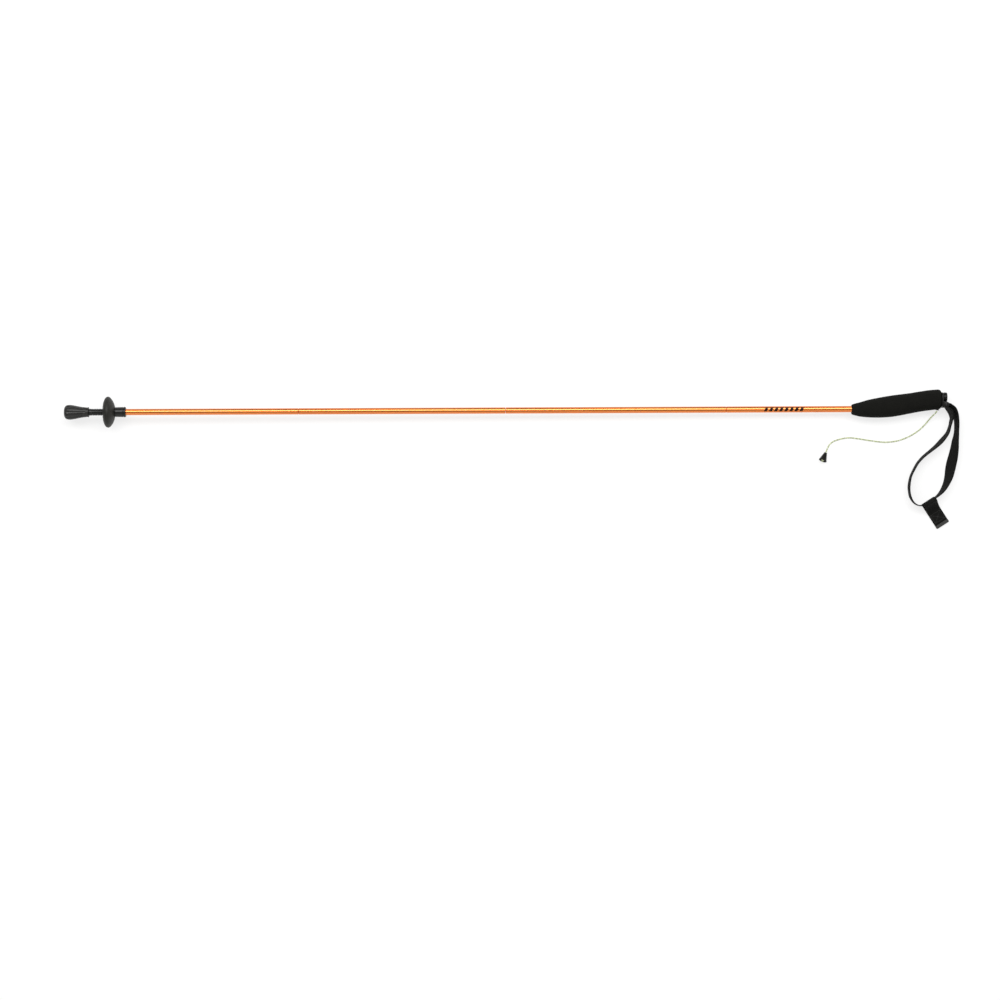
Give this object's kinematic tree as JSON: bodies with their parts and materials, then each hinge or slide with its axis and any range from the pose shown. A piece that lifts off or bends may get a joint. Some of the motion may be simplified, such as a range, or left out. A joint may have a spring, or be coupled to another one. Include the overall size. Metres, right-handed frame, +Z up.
{
  "type": "folding trekking pole",
  "caption": "Folding trekking pole with an angled foam grip, wrist strap, tension cord, trail basket and rubber tip protector.",
  "frame": {"origin": "centre of the bounding box, on the surface that the pole lies on", "axes": "+X along the shaft from the tip to the grip, +Y towards the raised side of the grip, +Z up from the surface"},
  "size_m": [1.3166, 0.2061, 0.046],
  "materials": {
    "anodised_tube": "gloss",
    "bare_aluminium": "satin",
    "grip_foam": "matte",
    "core_plastic": "satin",
    "head_plastic": "satin",
    "tip_plastic": "satin",
    "basket_plastic": "satin",
    "protector_rubber": "matte",
    "steel": "satin",
    "webbing": "matte",
    "clip_plastic": "satin",
    "cord_yarn": "matte"
  },
  "bodies": {
    "handle": {"tube_4": "anodised_tube", "grip_core": "core_plastic", "grip_foam": "grip_foam", "grip_head": "head_plastic", "head_cap": "head_plastic", "strap_pin": "steel", "cord_ferrule": "head_plastic", "inner_cord_4": "cord_yarn", "inner_cord_grip": "cord_yarn", "pull_cord": "cord_yarn", "cord_knot": "cord_yarn"},
    "wrist_strap": {"strap_webbing": "webbing", "strap_tab": "webbing", "tab_end_clip": "clip_plastic"},
    "bell": {"cord_bell": "head_plastic"},
    "upper_link": {"upper_spigot_top_half": "bare_aluminium"},
    "shaft_3": {"tube_3": "anodised_tube", "upper_spigot_bottom_half": "bare_aluminium", "inner_cord_3": "cord_yarn"},
    "middle_link": {"middle_spigot_top_half": "bare_aluminium"},
    "shaft_2": {"tube_2": "anodised_tube", "middle_spigot_bottom_half": "bare_aluminium", "inner_cord_2": "cord_yarn"},
    "lower_link": {"lower_spigot_top_half": "bare_aluminium"},
    "shaft_1": {"tube_1": "anodised_tube", "lower_spigot_bottom_half": "bare_aluminium", "inner_cord_1": "cord_yarn", "cord_anchor": "core_plastic", "tip_body": "tip_plastic", "carbide_tip": "steel"},
    "trail_basket": {"basket": "basket_plastic"},
    "protector": {"tip_protector": "protector_rubber", "protector_washer": "steel"}
  },
  "joints": [
    {"name": "upper_slide", "type": "slide", "parent": "handle", "child": "upper_link", "axis": [-1, 0, 0.0071], "range_m": [0, 0.045]},
    {"name": "upper_fold", "type": "hinge", "parent": "upper_link", "child": "shaft_3", "pos_m": [0.31522, 0.0798, 0.0165], "axis": [0, 0, -1], "range_deg": [0, 175]},
    {"name": "middle_slide", "type": "slide", "parent": "shaft_3", "child": "middle_link", "axis": [-1, 0, 0.0071], "range_m": [0, 0.045]},
    {"name": "middle_fold", "type": "hinge", "parent": "middle_link", "child": "shaft_2", "pos_m": [-0.00973, 0.07475, 0.02388], "axis": [0, 1, 0], "range_deg": [0, 176]},
    {"name": "lower_slide", "type": "slide", "parent": "shaft_2", "child": "lower_link", "axis": [-1, 0, 0.0071], "range_m": [0, 0.045]},
    {"name": "lower_fold", "type": "hinge", "parent": "lower_link", "child": "shaft_1", "pos_m": [-0.31426, 0.0697, 0.021], "axis": [0, 0, 1], "range_deg": [0, 175.5]},
    {"name": "basket_slide", "type": "slide", "parent": "shaft_1", "child": "trail_basket", "axis": [-1, 0, 0.0071], "range_m": [0, 0.014]},
    {"name": "protector_slide", "type": "slide", "parent": "shaft_1", "child": "protector", "axis": [-1, 0, 0.0071], "range_m": [0, 0.038]},
    {"name": "strap_swing", "type": "hinge", "parent": "handle", "child": "wrist_strap", "pos_m": [0.63835, 0.08075, 0.0142], "axis": [0, 0, 1], "range_deg": [-10, 45]},
    {"name": "bell_slide", "type": "slide", "parent": "handle", "child": "bell", "axis": [0.3802, 0.8904, -0.2501], "range_m": [0, 0.006]}
  ]
}
